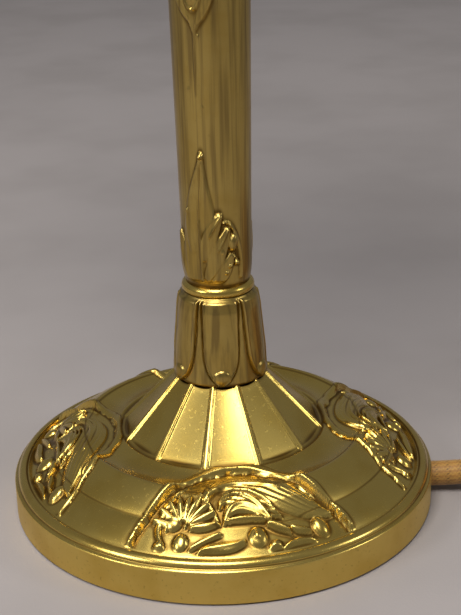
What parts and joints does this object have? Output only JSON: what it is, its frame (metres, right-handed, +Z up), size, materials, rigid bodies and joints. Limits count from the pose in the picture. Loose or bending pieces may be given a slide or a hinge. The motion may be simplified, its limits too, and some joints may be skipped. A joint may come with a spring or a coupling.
{
  "type": "torchiere lamp",
  "caption": "Table-size torchiere lamp: round cast brass foot, tapered column, opal glass uplighter bowl in a screw gallery, braided mains cord with in-line switch and plug.",
  "frame": {"origin": "centre of the felt pad's underside, on the lamp's axis", "axes": "+Z up along the lamp's axis, -Y through the front cartouche, +X to the right, towards the cord"},
  "size_m": [0.3234, 0.1751, 0.3921],
  "materials": {
    "polished_brass": "cast, polished, with a warm patina in the hollows",
    "plain_brass": "satin",
    "iron": "rough cast",
    "steel": "zinc plated",
    "nickel": "nickel plated",
    "felt": "pressed felt",
    "black_plastic": "matte",
    "brown_plastic": "glossy, moulded",
    "ivory_plastic": "glossy, moulded",
    "cable_sheath": "smooth sheath",
    "gold_braid": "braided textile",
    "opal_glass": "opal, satin",
    "frosted_glass": "frosted",
    "porcelain": "glazed white"
  },
  "bodies": {
    "lamp": {"foot_casting": "polished_brass", "petal_collar": "polished_brass", "astragal": "polished_brass", "neck_ring": "polished_brass", "stem": "polished_brass", "stem_capital": "polished_brass", "gallery": "polished_brass", "foot_weight": "iron", "weight_screws": "steel", "foot_plate": "steel", "foot_felt": "felt", "cord_bushing": "black_plastic", "cord_clamp": "steel", "clamp_screws": "steel", "threaded_rod": "plain_brass", "foot_washer": "steel", "foot_nut": "steel", "gallery_nut": "plain_brass", "inner_cable": "cable_sheath", "holder_cap": "plain_brass", "holder_shell": "plain_brass", "holder_ring": "plain_brass", "holder_insert": "porcelain", "holder_thread": "plain_brass", "holder_contact": "plain_brass", "cord_lead": "gold_braid", "cord_link": "gold_braid", "cord_tail": "gold_braid", "cord_coil": "gold_braid", "switch_lower": "brown_plastic", "switch_upper": "brown_plastic", "switch_screws": "steel", "plug_body": "brown_plastic", "plug_pins": "nickel"},
    "glass_bowl": {"glass_fitter": "opal_glass", "glass_bowl": "opal_glass"},
    "bulb": {"bulb_cap": "nickel", "bulb_glass": "frosted_glass", "bulb_filament": "steel"},
    "switch_button": {"switch_button": "ivory_plastic"},
    "thumbscrew_1": {"thumbscrew_1": "polished_brass"},
    "thumbscrew_2": {"thumbscrew_2": "polished_brass"},
    "thumbscrew_3": {"thumbscrew_3": "polished_brass"}
  },
  "joints": [
    {"name": "glass_lift", "type": "slide", "parent": "lamp", "child": "glass_bowl", "axis": [0, 0, 1], "range_m": [0, 0.11]},
    {"name": "bulb_out", "type": "slide", "parent": "lamp", "child": "bulb", "axis": [0, 0, 1], "range_m": [0, 0.06]},
    {"name": "switch_slide", "type": "slide", "parent": "lamp", "child": "switch_button", "axis": [0.9903, -0.1392, 0], "range_m": [0, 0.004]},
    {"name": "thumbscrew_1_out", "type": "slide", "parent": "lamp", "child": "thumbscrew_1", "axis": [0.5, -0.866, 0], "range_m": [0, 0.004]},
    {"name": "thumbscrew_2_out", "type": "slide", "parent": "lamp", "child": "thumbscrew_2", "axis": [0.5, 0.866, 0], "range_m": [0, 0.004]},
    {"name": "thumbscrew_3_out", "type": "slide", "parent": "lamp", "child": "thumbscrew_3", "axis": [-1, 0, 0], "range_m": [0, 0.004]}
  ]
}
